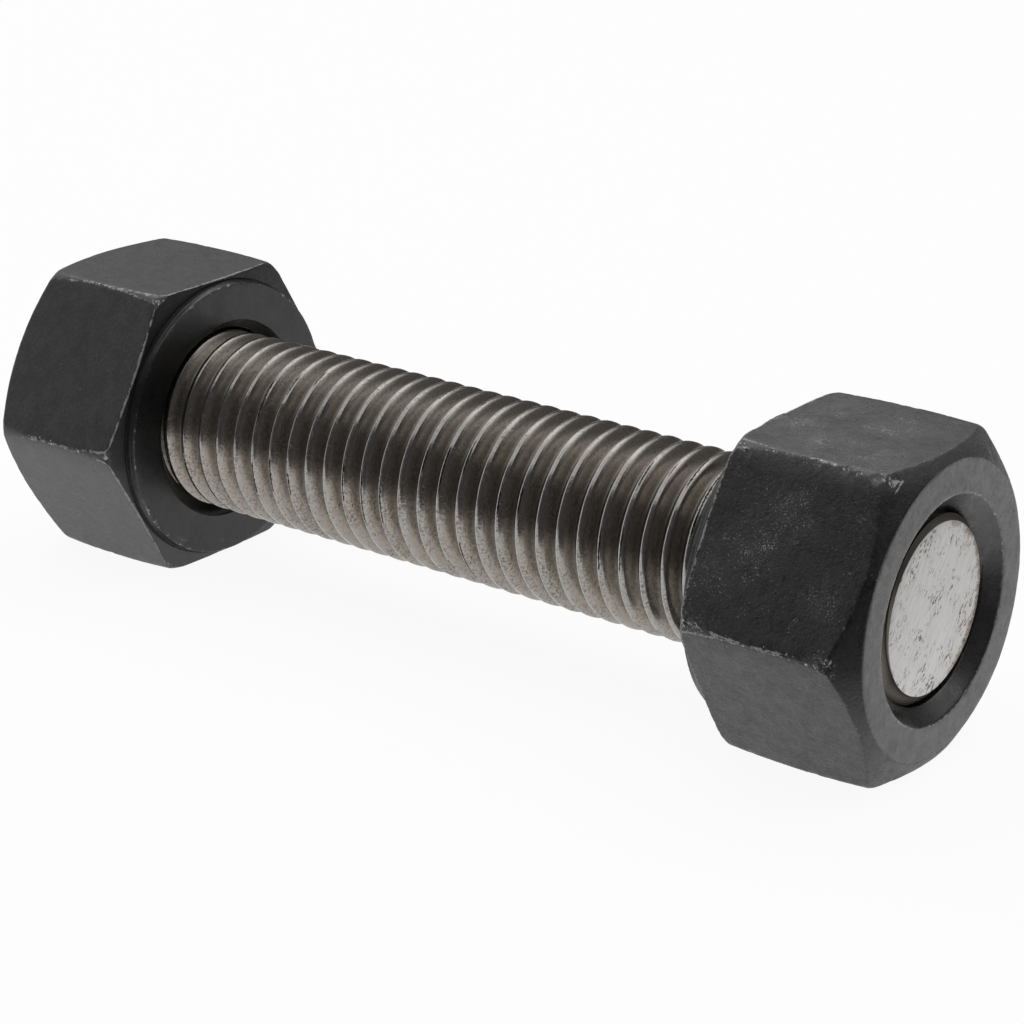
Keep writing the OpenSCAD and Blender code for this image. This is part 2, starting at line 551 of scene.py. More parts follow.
@dataclass
class Stud:
    """The fully threaded stud, with a chamfer at each end."""

    thread: ThreadForm
    length: float
    axis_z: float
    face_radius: float
    edge_round: float = 0.06
    steps: int = 80
    face_rings: int = 8
    lap_depth: float = 0.06
    lap_wave: float = 7.0
    lap_from: float = 0.14
    lap_to: float = 0.36
    sharp_deg: float = 35.0
    blank_room: float = 0.4
    rim_cuts: tuple[float, float] = (0.29, 0.71)
    face_gap: float = 0.01
    chamfer_gap: float = 0.05
    runout: tuple[float, float] = (1.4, 2.4)
    runout_share: float = 0.9
    highlight_ridge_place: float = -0.29
    highlight_ridge_width: float = 0.13
    name: str = "threaded_stud"
    offsets: tuple[float, ...] = (0.0, 0.05, 0.10, 0.16, 0.23, 0.32, 0.45, 0.65, 0.88, 1.08, 1.25)

    def build(self) -> bpy.types.Object:
        """Cut an overlong threaded rod to the chamfered stud.

        Returns:
            The stud, tagged for its finish.
        """
        rod = self._rod()
        blank = self._blank()
        cut = rod.modifiers.new("ends", "BOOLEAN")
        cut.operation = "INTERSECT"
        cut.solver = "MANIFOLD"
        cut.object = blank
        depsgraph = bpy.context.evaluated_depsgraph_get()
        mesh = bpy.data.meshes.new_from_object(rod.evaluated_get(depsgraph))
        bpy.data.objects.remove(rod)
        bpy.data.objects.remove(blank)
        mesh.name = self.name
        mesh.shade_smooth()
        mesh.set_sharp_from_angle(angle=math.radians(self.sharp_deg))
        piece = bpy.data.objects.new(self.name, mesh)
        bpy.context.scene.collection.objects.link(piece)
        self._tag(piece)
        return piece

    def dress(self, piece: bpy.types.Object, finish: PlainSteel) -> None:
        """Give the stud its finish, and let it stand for the solid."""
        piece.data.materials.clear()
        piece.data.materials.append(finish.material())
        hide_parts("stud")
        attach(piece, "stud")

    def _laps(self, points: np.ndarray) -> np.ndarray:
        """How open the rolled seam on the crest is at each point, from 0 to 1."""
        return smooth_step(noise_at(points, self.lap_wave, 3), self.lap_from, self.lap_to)

    def _rod(self) -> bpy.types.Object:
        """A closed helical rod, two turns longer than the stud."""
        pitch = self.thread.pitch
        half = np.array(self.offsets)
        across = np.concatenate([[-pitch / 2], -half[:0:-1], half])
        turns = math.ceil(self.length / pitch) + 2
        count = turns * self.steps + 1
        step = np.arange(count)[:, None]
        angle = step * math.tau / self.steps - math.pi / 2
        first_crest = self.thread.shift - pitch * math.floor(turns / 2)
        along = first_crest + pitch * step / self.steps + across[None, :]
        radius = self.thread.stud_radius(np.abs(across))[None, :] + 0 * along
        angle = angle + 0 * along
        points = self._turned(along, radius, angle)
        flat = points.reshape(-1, 3)
        off = np.broadcast_to(np.abs(across), along.shape).ravel()
        seam = self._laps(flat) * np.clip(1 - off / half[1], 0, 1)
        worn = 0.03 * noise_at(flat, 2.4, 5) + 0.02 * noise_at(flat, 0.8, 7)
        worn = worn * smooth_step(-off, -half[5], 0)
        radius = radius - (self.lap_depth * seam).reshape(radius.shape) + worn.reshape(radius.shape)
        points = self._turned(along, radius, angle).reshape(-1, 3)
        return make_piece("rod", *self._closed(points, count, across.size))

    def _turned(self, along: np.ndarray, radius: np.ndarray, angle: np.ndarray) -> np.ndarray:
        """Points in the frame from places, radii and angles on the stud."""
        return np.stack(
            [along, -radius * np.sin(angle), self.axis_z + radius * np.cos(angle)], axis=-1
        )

    def _closed(self, points: np.ndarray, count: int, width: int) -> tuple[np.ndarray, np.ndarray]:
        """Faces of the helical strip, with a fan at each end.

        Args:
            points: The strip's points, row by row.
            count: Rows along the helix.
            width: Points across one pitch.

        Returns:
            The points with both hubs added, and the faces as triangles.
        """
        index = np.arange(count * width).reshape(count, width)
        quads = [np.stack([index[:-1, :-1], index[1:, :-1], index[1:, 1:], index[:-1, 1:]], -1)]
        last, first = index[: -self.steps, -1], index[self.steps :, 0]
        quads.append(np.stack([last[:-1], last[1:], first[1:], first[:-1]], -1)[:, None, :])
        faces = np.concatenate([quad.reshape(-1, 4) for quad in quads])
        triangles = np.concatenate([faces[:, [0, 1, 2]], faces[:, [0, 2, 3]]])
        start = np.concatenate([index[: self.steps + 1, 0], index[0, :0:-1]])
        finish = np.concatenate([index[-self.steps - 1 :, -1], index[-1, -2::-1]])
        hubs = len(points) + np.arange(2)
        ends = []
        for loop, hub, turn in ((start, hubs[0], -1), (finish, hubs[1], 1)):
            ring = np.stack([loop, np.roll(loop, -1), np.full_like(loop, hub)], -1)
            ends.append(ring[:, ::turn])
        places = np.array([points[start].mean(0), points[finish].mean(0)])
        return np.concatenate([points, places]), np.concatenate([triangles, *ends])

    def _blank(self) -> bpy.types.Object:
        """The turned blank that the rod is cut to, with rings on its end faces."""
        end = self.length / 2
        room = self.thread.crest_radius + self.blank_room
        rim = self.face_radius
        soft = self.edge_round
        radii = list(np.linspace(0, rim - soft, self.face_rings + 1)[1:])
        near, far = self.rim_cuts
        places = [end] * len(radii) + [end - soft * near, end - soft, end - (room - rim)]
        radii = radii + [rim, rim + soft * far, room]
        along = np.array([-place for place in places] + places[::-1])
        radius = np.array(radii + radii[::-1])
        angle = np.arange(2 * self.steps) * math.pi / self.steps
        spread = 0 * (along[:, None] + angle)
        grid = self._turned(along[:, None] + spread, radius[:, None] + spread, angle + spread)
        index = np.arange(along.size * angle.size).reshape(along.size, angle.size)
        after = np.roll(index, -1, axis=1)
        quads = np.stack([index[:-1], after[:-1], after[1:], index[1:]], -1).reshape(-1, 4)
        triangles = np.concatenate([quads[:, [0, 1, 2]], quads[:, [0, 2, 3]]])
        hubs = index.size + np.arange(2)
        low = np.stack([after[0], index[0], np.full(angle.size, hubs[0])], -1)
        high = np.stack([index[-1], after[-1], np.full(angle.size, hubs[1])], -1)
        centres = np.array([[-end, 0, self.axis_z], [end, 0, self.axis_z]])
        points = np.concatenate([grid.reshape(-1, 3), centres])
        return make_piece("blank", points, np.concatenate([triangles, low, high]))

    def _tag(self, piece: bpy.types.Object) -> None:
        """Tag each vertex with its height on the thread and its place on the end face."""
        flat = np.empty(len(piece.data.vertices) * 3, np.float32)
        piece.data.vertices.foreach_get("co", flat)
        points = flat.reshape(-1, 3).astype(float) / MM
        side, height = points[:, 1], points[:, 2] - self.axis_z
        radius = np.hypot(side, height)
        angle = np.arctan2(-side, height)
        past = self.thread.from_crest(points[:, 0], angle)
        off = np.abs(past)
        rise = np.clip((radius - self.thread.crest_radius) / self.thread.depth + 1, 0, 1)
        from_end = self.length / 2 - np.abs(points[:, 0])
        on_face = (from_end < self.face_gap).astype(float)
        # The turned tag marks the end chamfers and the thread runout, which the finish paints as shade,
        # lighter on the front as painted light.
        turned = np.abs(self.face_radius + from_end - radius) < self.chamfer_gap
        full, gone = self.runout
        runout = self.runout_share * smooth_step(-from_end, -gone, -full)
        turned = np.maximum(turned, runout) * (1 - on_face)
        lap = self._laps(points) * np.clip(1 - off / self.offsets[4], 0, 1)
        lap = lap * smooth_step(rise, 0.85, 0.95)
        rim = smooth_step(radius, self.face_radius * 0.75, self.face_radius) * on_face
        rim = rim * smooth_step(side, -0.3 * self.face_radius, 0.6 * self.face_radius)
        # A band on one shoulder of each crest, where the finish paints polish and a painted highlight.
        highlight_ridge = np.exp(-(((past - self.highlight_ridge_place) / self.highlight_ridge_width) ** 2))
        tags = {"rise": rise, "highlight_ridge": highlight_ridge, "lap": lap, "face": on_face, "rim": rim, "turned": turned}
        tag_points(piece, tags)


class Mark(Enum):
    """Kinds of damage on a nut."""

    DENT = "dent"
    FLAKE = "flake"
    SCUFF = "scuff"
    RUST = "rust"


@dataclass(frozen=True)
class Blemish:
    """One mark on a nut, at a place on its surface."""

    kind: Mark
    along: float
    angle: float
    radius: float
    size: float
    depth: float = 0.0


@dataclass(frozen=True)
class Corner:
    """One corner of the nut's turned outline."""

    along: float
    radius: float
    fillet: float
    wear: float
    spacing: float


@dataclass
class HexNut:
    """A heavy hex nut: hexagon, barrelled corners, washer face, tapped bore."""

    name: str
    body: str
    thread: ThreadForm
    side: int
    inner_x: float
    height: float
    across_flats: float
    axis_z: float
    chipping: float
    inner_polish: float
    seed: int
    blemishes: Sequence[Blemish] = ()
    washer_face_inset: float = 0.6
    washer_face_height: float = 1.1
    inner_chamfer_deg: float = 8.0
    groove_depth: float = 0.15
    corner_cut: float = 0.5
    outer_face_inset: float = 1.2
    outer_chamfer_deg: float = 32.0
    barrel_radius: float = 120.0
    corner_break: float = 0.05
    inner_rim: float = 12.45
    outer_rim: float = 12.80
    edge_blend: float = 0.13
    wear_width: float = 0.12
    inner_wear: float = 0.25
    outer_wear_loss: float = 0.45
    turning_gap: float = 0.02
    swell_height: float = 0.035
    swell_wave: float = 6.0
    chip_depth: float = 0.16
    chip_waves: tuple[float, float] = (0.9, 0.35)
    ragged_wave: float = 0.7
    lip_height: float = 0.35
    lip_place: float = 1.05
    lip_width: float = 0.25
    flat_columns: int = 15
    band_columns: int = 5
    bore_rows: int = 140
    least_flat_deg: float = 8.0

    @property
    def flat_radius(self) -> float:
        """Distance from the axis to a flat."""
        return self.across_flats / 2

    @property
    def corner_radius(self) -> float:
        """Distance from the axis to a corner at mid height."""
        return self.flat_radius / math.cos(math.pi / 6) - self.corner_break

    @property
    def washer_radius(self) -> float:
        """Radius of the washer face."""
        return self.flat_radius - self.washer_face_inset

    @property
    def ring_radius(self) -> float:
        """Radius of the flat ring on the outer face."""
        return self.flat_radius - self.outer_face_inset

    @property
    def inner_slope(self) -> float:
        """Rise of the inner chamfer for each millimetre outwards."""
        return math.tan(math.radians(self.inner_chamfer_deg))

    @property
    def outer_slope(self) -> float:
        """Fall of the outer chamfer for each millimetre outwards."""
        return math.tan(math.radians(self.outer_chamfer_deg))

    def build(self) -> bpy.types.Object:
        """Make the nut as one closed grid of quads.

        Returns:
            The nut, tagged for its finish.
        """
        along, outline, wear = self._outline()
        angle = self._angles(outline)
        hexagon = self.flat_radius / np.cos(self._within(angle))
        limit = outline[:, None] + 0 * angle
        radius = smooth_low(limit, hexagon, self.edge_blend)
        on_turning = limit < hexagon + self.turning_gap
        edge = np.maximum(self._edge_wear(along, limit, hexagon), wear[:, None] * on_turning)
        machined = self._machined(along, outline)[:, None] * on_turning
        smooth = self._faces(along, outline)[:, None] * on_turning
        bore_along, bore_angle, bore_radius = self._bore(along[-1], along[0], angle.shape[1])
        along_grid = np.concatenate([along[:, None] + 0 * angle, bore_along])
        angle_grid = np.concatenate([angle, bore_angle])
        radius_grid = np.concatenate([radius, bore_radius])
        edge = np.concatenate([edge, 0 * bore_radius])
        machined = np.concatenate([machined, 0 * bore_radius + 1])
        smooth = np.concatenate([smooth, 0 * bore_radius + 1])
        sunk = self._inside(along, outline)[:, None] + 0 * angle
        bore = np.concatenate([sunk, 0 * bore_radius + 1])
        points = self._place(along_grid, radius_grid, angle_grid)
        points, tags = self._weather(points, edge, smooth)
        piece = make_piece(self.name, points.reshape(-1, 3), self._quads(along_grid.shape))
        piece.data.shade_smooth()
        tags.update(edge=edge, machined=machined, smooth=smooth, bore=bore)
        tag_points(piece, tags)
        return piece

    def dress(self, piece: bpy.types.Object, finish: BlackOxide) -> None:
        """Give the nut its finish, and let it stand for the solid."""
        piece.data.materials.append(finish.material())
        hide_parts(self.body)
        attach(piece, self.body)

    def _barrel(self, along: np.ndarray | float) -> np.ndarray | float:
        """Radius of the barrelled corners at a place along the nut."""
        return self.corner_radius - (along - self.height / 2) ** 2 / (2 * self.barrel_radius)

    def _corners(self) -> list[Corner]:
        """Corners of the turned outline, from the inner countersink to the outer one."""
        washer, ring = self.washer_radius, self.ring_radius
        low, high = self.washer_face_height, self.height
        for _ in range(8):
            low_next = self.washer_face_height + (self._barrel(low) - washer) * self.inner_slope
            high_next = self.height - (self._barrel(high) - ring) * self.outer_slope
            low, high = low_next, high_next
        cone = 0.3
        cut = self.corner_cut
        groove = self.washer_face_height + self.groove_depth
        return [
            Corner(cone, self.inner_rim - cone, 0.0, 0.0, 0.1),
            Corner(0.0, self.inner_rim, 0.08, 0.3, 0.45),
            Corner(0.0, washer - 0.05, 0.10, 0.7, 0.1),
            Corner(groove, washer + 0.10, 0.08, 0.0, 0.08),
            Corner(self.washer_face_height + 0.05, washer + 0.35, 0.06, 0.3, 0.15),
            Corner(low - cut * self.inner_slope, self._barrel(low) - cut, 0.10, 0.6, 0.1),
            Corner(low + cut, self._barrel(low + cut), 0.20, 0.9, 0.2),
            Corner(high, self._barrel(high), 0.35, 0.9, 0.1),
            Corner(self.height, ring, 0.20, 0.5, 0.4),
            Corner(self.height, self.outer_rim, 0.25, 0.9, 0.1),
            Corner(self.height - cone, self.outer_rim - cone, 0.0, 0.0, 0.1),
        ]

    def _outline(self) -> tuple[np.ndarray, np.ndarray, np.ndarray]:
        """Sample the turned outline.

        Returns:
            Place along the nut, radius, and closeness to a worn corner, for each row.
        """
        corners = self._corners()
        spots = [np.array([corner.along, corner.radius]) for corner in corners]
        rows: list[np.ndarray] = []
        for number, corner in enumerate(corners[:-1]):
            leg = spots[number + 1] - spots[number]
            length = float(np.hypot(*leg))
            way = leg / length
            start, stop = corner.fillet, length - corners[number + 1].fillet
            count = max(2, int((stop - start) / corner.spacing))
            shares = np.linspace(start, stop, count, endpoint=True)
            rows += [spots[number] + way * share for share in shares]
            rows += self._fillet(spots, corners, number + 1)
        path = np.array(rows)
        along, radius = path[:, 0], path[:, 1]
        low, high = corners[6], corners[7]
        chord = np.interp(along, [low.along, high.along], [low.radius, high.radius])
        on_barrel = (along > low.along) & (along < high.along)
        radius = radius + np.where(on_barrel, self._barrel(along) - chord, 0)
        reach = 0.22
        near = []
        for corner in corners:
            gap = (along - corner.along) ** 2 + (radius - corner.radius) ** 2
            near.append(corner.wear * np.exp(-(gap / reach**2)))
        return along, radius, np.max(near, axis=0)

    @staticmethod
    def _fillet(spots: list[np.ndarray], corners: list[Corner], number: int) -> list[np.ndarray]:
        """Points of the rounding at one corner of the outline.

        Args:
            spots: The corners' places.
            corners: The corners.
            number: The corner to round.

        Returns:
            The points between the rounding's two ends.
        """
        if number == len(corners) - 1:
            return []
        reach = corners[number].fillet
        before = spots[number - 1] - spots[number]
        after = spots[number + 1] - spots[number]
        start = spots[number] + before / np.hypot(*before) * reach
        stop = spots[number] + after / np.hypot(*after) * reach
        shares = (0.2, 0.4, 0.6, 0.8)
        return [
            start * (1 - share) ** 2 + spots[number] * 2 * share * (1 - share) + stop * share**2
            for share in shares
        ]

    def _edge_wear(self, along: np.ndarray, limit: np.ndarray, hexagon: np.ndarray) -> np.ndarray:
        """Closeness to the edges of the flats, from 0 to 1.

        Args:
            along: Place along the nut of each row.
            limit: Radius of the turned outline at each point.
            hexagon: Radius of the hexagon at each point.

        Returns:
            One on an edge, falling to nought over the width of the wear.
        """
        inner = self.washer_face_height + (hexagon - self.washer_radius) * self.inner_slope
        outer = self.height - (hexagon - self.ring_radius) * self.outer_slope
        on_flat = limit >= hexagon
        run = np.minimum(np.abs(along[:, None] - inner), np.abs(along[:, None] - outer))
        near = np.minimum(np.abs(hexagon - limit), np.where(on_flat, 0.32 * run, np.inf))
        on_barrel = (run > 1.0) & (limit < hexagon)
        near = np.where(on_barrel, 0.5 * near, near)
        fade = 1 + self.inner_wear - self.inner_wear * smooth_step(along, 1.6, 3.0)
        fade = fade - self.outer_wear_loss * smooth_step(along / self.height, 0.55, 0.85)
        return fade[:, None] * np.exp(-((near / self.wear_width) ** 2))

    def _inside(self, along: np.ndarray, outline: np.ndarray) -> np.ndarray:
        """One in the countersinks, nought outside their rims."""
        rim = np.where(along < self.height / 2, self.inner_rim, self.outer_rim)
        return smooth_step(rim - outline, 0.02, 0.10)

    def _machined(self, along: np.ndarray, outline: np.ndarray) -> np.ndarray:
        """One on the turned faces, nought on the forged hexagon and the black chamfer."""
        low = self._corners()[5].along
        turned = (along < low + 0.05) | (along > self.height - 0.04) | (outline < self.outer_rim)
        return turned * np.where(along < self.height / 2, self.inner_polish, 1.0)

    def _faces(self, along: np.ndarray, outline: np.ndarray) -> np.ndarray:
        """One on the flat faces and countersinks, nought on the chamfered corners."""
        on_washer = (along < self.washer_face_height * 0.6) & (outline < self.washer_radius + 0.05)
        on_ring = (along > self.height / 2) & (outline < self.ring_radius + 0.02)
        return (on_washer | on_ring).astype(float)

    def _within(self, angle: np.ndarray) -> np.ndarray:
        """Angle from the middle of the nearest flat."""
        sixth = math.pi / 3
        return angle - np.round(angle / sixth) * sixth

    def _angles(self, outline: np.ndarray) -> np.ndarray:
        """Angles of the columns in each row, gathered along the edges of the flats.

        Args:
            outline: Radius of the turned outline in each row.

        Returns:
            Angles in radians, one row for each row of the outline.
        """
        reach = np.arccos(np.clip(self.flat_radius / np.maximum(outline, self.flat_radius), 0, 1))
        reach = np.maximum(reach, math.radians(self.least_flat_deg))[:, None]
        share = np.arange(self.flat_columns) / self.flat_columns
        on_flat = np.arctan(np.tan(reach) * (1 - (1 - share) ** 2.2))
        share = np.arange(self.band_columns) / self.band_columns
        on_band = reach + (math.pi / 6 - reach) * share**1.5
        half = np.concatenate([on_flat, on_band], axis=1)
        corner = np.full_like(reach, -math.pi / 6)
        sixth = np.concatenate([corner, -half[:, :0:-1], half], axis=1)
        even = (np.arange(sixth.shape[1]) / sixth.shape[1] - 0.5) * math.pi / 3
        inward = smooth_step(self.ring_radius - outline, 0.0, 2.0)[:, None]
        sixth = sixth * (1 - inward) + even * inward
        return np.concatenate([sixth + turn * math.pi / 3 for turn in range(6)], axis=1)

    def _bore(
        self, start: float, stop: float, columns: int
    ) -> tuple[np.ndarray, np.ndarray, np.ndarray]:
        """The tapped bore, from the outer countersink back to the inner one.

        Args:
            start: Place along the nut where the outline ends.
            stop: Place along the nut where the outline begins.
            columns: Columns in each row.

        Returns:
            Place along the nut, angle and radius of each point.
        """
        along = np.linspace(start, stop, self.bore_rows + 2)[1:-1, None]
        even = (np.arange(columns) / columns - 1 / 12) * math.tau
        angle = even[None, :] + 0 * along
        along = along + 0 * angle
        off = np.abs(self.thread.from_crest(self.side * (self.inner_x + along), angle))
        cone = np.maximum(self.inner_rim - along, self.outer_rim - (self.height - along))
        return along, angle, smooth_high(self.thread.nut_radius(off), cone, self.thread.tap_round)

    def _place(self, along: np.ndarray, radius: np.ndarray, angle: np.ndarray) -> np.ndarray:
        """Points in the frame from places, radii and angles on the nut."""
        return np.stack(
            [
                self.side * (self.inner_x + along),
                -radius * np.sin(angle),
                self.axis_z + radius * np.cos(angle),
            ],
            axis=-1,
        )

    @staticmethod
    def _quads(shape: tuple[int, int]) -> np.ndarray:
        """Faces of a grid that closes on itself both ways."""
        index = np.arange(shape[0] * shape[1]).reshape(shape)
        right = np.roll(index, -1, axis=1)
        below = np.roll(index, -1, axis=0)
        across = np.roll(right, -1, axis=0)
        return np.stack([index, right, across, below], -1).reshape(-1, 4)

    def _outward(self, points: np.ndarray) -> np.ndarray:
        """Outward normals of the closed grid."""
        down = np.roll(points, -1, axis=0) - np.roll(points, 1, axis=0)
        around = np.roll(points, -1, axis=1) - np.roll(points, 1, axis=1)
        normal = np.cross(down, around)
        normal /= np.maximum(np.linalg.norm(normal, axis=-1, keepdims=True), 1e-9)
        centre = np.array([0, 0, self.axis_z])
        middle = points.shape[0] // 3
        spoke = (points - centre)[middle] * np.array([0, 1, 1])
        return normal * np.sign(np.einsum("ij,ij->", normal[middle], spoke))

    def _weather(
        self, points: np.ndarray, edge: np.ndarray, smooth: np.ndarray
    ) -> tuple[np.ndarray, dict[str, np.ndarray]]:
        """Roughen the forged skin, chip the edges and press in the marks.

        Args:
            points: The grid's points.
            edge: Closeness to a worn edge.
            smooth: One on flat turned faces.

        Returns:
            The moved points, and the flake, scuff and rust tags.
        """
        shape = edge.shape
        flat = points.reshape(-1, 3)
        normal = self._outward(points)
        coarse, fine = self.chip_waves
        ragged = 1 + 0.5 * noise_at(flat, self.ragged_wave, self.seed + 3).reshape(shape)
        swell = self.swell_height * noise_at(flat, self.swell_wave, self.seed).reshape(shape)
        bite = np.clip(noise_at(flat, coarse, self.seed + 1).reshape(shape) - 0.05, 0, 1)
        bite += 0.6 * np.clip(noise_at(flat, fine, self.seed + 2).reshape(shape), 0, 1)
        move = swell * (1 - smooth) - self.chip_depth * self.chipping * edge * bite
        tags = {mark.value: np.zeros(shape) for mark in (Mark.FLAKE, Mark.SCUFF, Mark.RUST)}
        for blemish in self.blemishes:
            angle = math.radians(blemish.angle)
            target = self._place(np.array(blemish.along), np.array(blemish.radius), np.array(angle))
            nearest = flat[np.linalg.norm(flat - target, axis=1).argmin()]
            far = np.linalg.norm(points - nearest, axis=-1) / blemish.size
            if blemish.kind is Mark.DENT:
                lip = np.exp(-(((far - self.lip_place) / self.lip_width) ** 2))
                move += blemish.depth * (self.lip_height * lip - np.clip(1 - far**2, 0, 1))
                tags["flake"] = np.maximum(tags["flake"], 0.5 * lip * ragged)
            else:
                inside = np.clip(1 - (far * ragged) ** 2, 0, 1)
                move -= blemish.depth * inside
                tag = blemish.kind.value
                mark = inside if blemish.kind is Mark.SCUFF else inside**0.5
                tags[tag] = np.maximum(tags[tag], mark)
        return points + normal * move[..., None], tags


@dataclass(frozen=True)
class Softbox:
    """A soft studio lamp."""

    name: str
    place: tuple[float, float, float]
    aim: tuple[float, float, float]
    width: float
    depth: float
    watts: float

    def build(self) -> None:
        """Hang the lamp and turn it to its aim."""
        lamp = bpy.data.lights.new(self.name, "AREA")
        lamp.shape = "RECTANGLE"
        lamp.size = self.width
        lamp.size_y = self.depth
        lamp.energy = self.watts
        holder = bpy.data.objects.new(self.name, lamp)
        holder.location = self.place
        way = Vector(self.aim) - Vector(self.place)
        holder.rotation_euler = way.to_track_quat("-Z", "Y").to_euler()
        bpy.context.scene.collection.objects.link(holder)


@dataclass
class Studio:
    """White table, soft light from above and behind, and the camera."""

    image_side: float = 1024.0
    focal_px: float = 2968.62
    sensor: float = 36.0
    eye: tuple[float, float, float] = (199.287, -256.600, 139.149)
    right: tuple[float, float, float] = (0.7955905, 0.60582932, 0.00256659)
    down: tuple[float, float, float] = (0.21885203, -0.28344653, -0.93368188)
    table_half: float = 4.0
    table_glow: float = 0.93
    shade_start: float = 72.0
    shade_blend: float = 34.0
    shade_slant: float = 0.8
    bright_reach: float = 150.0
    far_glow: float = 0.35
    room_dim: float = 0.085
    room_back: float = 0.16
    room_left: float = 1.0
    room_high: float = 1.15
    lamps: tuple[Softbox, ...] = (
        Softbox("overhead", (-0.25, 0.13, 0.95), (-0.25, 0.13, 0.0), 1.5, 1.34, 7.2),
    )

    def build(self) -> None:
        """Set up the table, the room, the lamps and the camera."""
        scene = bpy.context.scene
        scene.view_settings.view_transform = "Standard"
        self._table()
        self._room()
        for lamp in self.lamps:
            lamp.build()
        self._camera()

    def _table(self) -> None:
        """A pale table top that shows white and still takes a soft shadow; in reflections its
        right-front side and its far parts show painted shade.
        """
        half = self.table_half
        mesh = bpy.data.meshes.new("table_top")
        corners = [(-half, -half, 0), (half, -half, 0), (half, half, 0), (-half, half, 0)]
        mesh.from_pydata(corners, [], [(0, 1, 2, 3)])
        table = bpy.data.objects.new("table_top", mesh)
        bpy.context.scene.collection.objects.link(table)
        material, graph = new_material("white_table")
        path = {name: graph.node("ShaderNodeLightPath", out=name) for name in self._shown_rays()}
        seen = path["Is Camera Ray"].higher(path["Is Glossy Ray"]).higher(path["Is Transmission Ray"])
        spot = graph.place()
        # Painted shade seen only in reflections: the table turns dark grey on its right-front side and
        # grows darker far from the middle.
        right = graph.axis(spot, "X")
        back = graph.axis(spot, "Y")
        across = right - self.shade_slant * back
        side_shade = graph.step(across, self.shade_start, self.shade_start + self.shade_blend)
        away = graph.node("ShaderNodeVectorMath", {"operation": "LENGTH"}, {0: spot}, out="Value")
        far = graph.step(away, self.bright_reach, 3 * self.bright_reach)
        unlit = side_shade.higher((1 - self.far_glow) * far) * path["Is Glossy Ray"]
        paint = graph.tint(unlit, grey(0.95), grey(0.12))
        matt = graph.node("ShaderNodeBsdfDiffuse", sockets={"Color": paint})
        glow = graph.node("ShaderNodeEmission", sockets={"Color": grey(1.0), "Strength": 1.0})
        share = self.table_glow * seen * (1 - unlit)
        blend = graph.node("ShaderNodeMixShader", sockets={0: share, 1: matt, 2: glow})
        graph.node("ShaderNodeOutputMaterial", sockets={"Surface": blend})
        mesh.materials.append(material)

    @staticmethod
    def _shown_rays() -> tuple[str, ...]:
        """Kinds of ray that see the table as a white background."""
        return ("Is Camera Ray", "Is Glossy Ray", "Is Transmission Ray")

    def _room(self) -> None:
        """A room that is bright high behind the object and far to its left, and dim elsewhere."""
        world = bpy.data.worlds.new("studio_room")
        world.use_nodes = True
        bpy.context.scene.world = world
        graph = Graph(world.node_tree)
        way = graph.node("ShaderNodeTexCoord", out="Generated")
        side = graph.axis(way, "X")
        depth = graph.axis(way, "Y")
        height = graph.axis(way, "Z")
        behind = graph.step(depth, 0.22, 0.55) * graph.step(height, 0.08, 0.28)
        above = graph.step(depth, 0.05, 0.35) * graph.step(height, 0.42, 0.62)
        glow = self.room_dim + (self.room_back - self.room_dim) * behind
        glow = glow + (self.room_left - self.room_dim) * graph.step(0 - side, 0.64, 0.92)
        glow = glow + (self.room_high - self.room_back) * above
        shade = graph.tint(glow, grey(0.0), grey(1.0))
        light = graph.node("ShaderNodeBackground", sockets={"Color": shade, "Strength": 1.0})
        graph.node("ShaderNodeOutputWorld", sockets={"Surface": light})

    def _camera(self) -> None:
        """The camera at the photograph's place."""
        data = bpy.data.cameras.new("camera")
        data.sensor_width = self.sensor
        data.lens = self.focal_px / self.image_side * self.sensor
        data.clip_start = 0.01
        camera = bpy.data.objects.new("camera", data)
        right, up = Vector(self.right), -Vector(self.down)
        turn = Matrix((right, up, right.cross(up))).transposed()
        camera.matrix_world = Matrix.Translation(Vector(self.eye) * MM) @ turn.to_4x4()
        bpy.context.scene.collection.objects.link(camera)
        bpy.context.scene.camera = camera


def chips(
    along: float, angle: float, radius: float, count: int, spread: float, seed: int
) -> list[Blemish]:
    """Small flakes scattered round one spot.

    Args:
        along: Place of the spot along the nut.
        angle: Angle of the spot from the top towards the front, in degrees.
        radius: Distance of the spot from the axis.
        count: Number of flakes.
        spread: How far the flakes scatter, in millimetres.
        seed: Chooses the pattern.

    Returns:
        The flakes.
    """
    draw = np.random.default_rng(seed)
    shifts = draw.normal(0, 1, (count, 2)) * (spread, min(spread, FLAKE_BAND))
    sizes = draw.uniform(*FLAKE_SIZES, count)
    flakes = []
    for shift, size in zip(shifts, sizes):
        place, turn = along + shift[0], angle + math.degrees(shift[1] / radius)
        flakes.append(Blemish(Mark.FLAKE, place, turn, radius, size, FLAKE_DEPTH))
    return flakes


